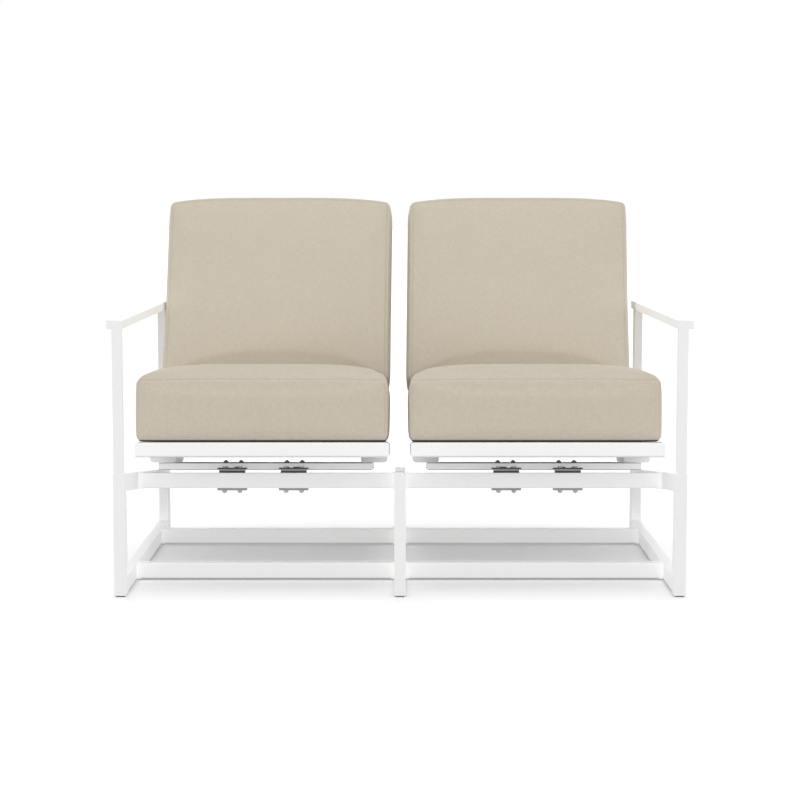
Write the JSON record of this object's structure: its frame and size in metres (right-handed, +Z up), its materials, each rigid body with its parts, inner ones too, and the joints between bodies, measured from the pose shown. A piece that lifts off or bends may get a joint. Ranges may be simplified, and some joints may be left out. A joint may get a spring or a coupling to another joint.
{
  "type": "rocker bench",
  "caption": "Patio loveseat on a fixed white tube base with cushioned seats that each rock on hairpin leaf springs.",
  "frame": {"origin": "on the floor, in the middle of the overall width and depth", "axes": "+X to the right seen from the front, +Y to the back, +Z up"},
  "size_m": [1.36, 1.039, 0.9308],
  "materials": {
    "frame_white": "satin",
    "glide_black": "matte",
    "clamp_steel": "satin",
    "bolt_zinc": "satin",
    "bolt_dark": "satin",
    "spring_steel": "satin",
    "pan_steel": "satin",
    "strap_web": "matte",
    "cushion_fabric": "matte"
  },
  "bodies": {
    "base": {"left_front_leg": "frame_white", "right_front_leg": "frame_white", "centre_front_leg": "frame_white", "left_rear_leg": "frame_white", "right_rear_leg": "frame_white", "centre_rear_leg": "frame_white", "left_front_arm_post": "frame_white", "right_front_arm_post": "frame_white", "left_rear_arm_post": "frame_white", "right_rear_arm_post": "frame_white", "left_arm": "frame_white", "right_arm": "frame_white", "arm_end_caps": "frame_white", "left_upper_rail": "frame_white", "centre_upper_rail": "frame_white", "right_upper_rail": "frame_white", "left_lower_rail": "frame_white", "centre_lower_rail": "frame_white", "right_lower_rail": "frame_white", "left_spring_rail": "frame_white", "left_front_stretcher": "frame_white", "left_rear_stretcher": "frame_white", "right_spring_rail": "frame_white", "right_front_stretcher": "frame_white", "right_rear_stretcher": "frame_white", "rail_sockets": "frame_white", "foot_glides": "glide_black", "clamp_spacers": "clamp_steel", "clamp_top_plates": "clamp_steel", "clamp_base_plates": "clamp_steel", "clamp_bolts": "bolt_zinc", "clamp_nuts": "bolt_zinc", "left_springs": "spring_steel", "right_springs": "spring_steel"},
    "left_seat": {"left_seat_front_rail": "frame_white", "left_seat_rear_rail": "frame_white", "left_seat_side_rails": "frame_white", "left_back_uprights": "frame_white", "left_back_rails": "frame_white", "left_seat_mounts": "frame_white", "left_seat_straps": "strap_web", "left_back_straps": "strap_web", "left_rocker_pan": "pan_steel", "left_pan_bolts": "bolt_dark", "left_seat_cushion": "cushion_fabric", "left_back_cushion": "cushion_fabric"},
    "right_seat": {"right_seat_front_rail": "frame_white", "right_seat_rear_rail": "frame_white", "right_seat_side_rails": "frame_white", "right_back_uprights": "frame_white", "right_back_rails": "frame_white", "right_seat_mounts": "frame_white", "right_seat_straps": "strap_web", "right_back_straps": "strap_web", "right_rocker_pan": "pan_steel", "right_pan_bolts": "bolt_dark", "right_seat_cushion": "cushion_fabric", "right_back_cushion": "cushion_fabric"}
  },
  "joints": [
    {"name": "left_seat_rock", "type": "hinge", "parent": "base", "child": "left_seat", "pos_m": [0, -0.11568, 0.24444], "axis": [-1, 0, 0], "range_deg": [-3, 12], "stiffness_Nm_per_rad": 600, "springref_deg": -3.5, "deforming": ["left_springs"]},
    {"name": "right_seat_rock", "type": "hinge", "parent": "base", "child": "right_seat", "pos_m": [0, -0.11568, 0.24444], "axis": [-1, 0, 0], "range_deg": [-3, 12], "stiffness_Nm_per_rad": 600, "springref_deg": -3.5, "deforming": ["right_springs"]}
  ]
}
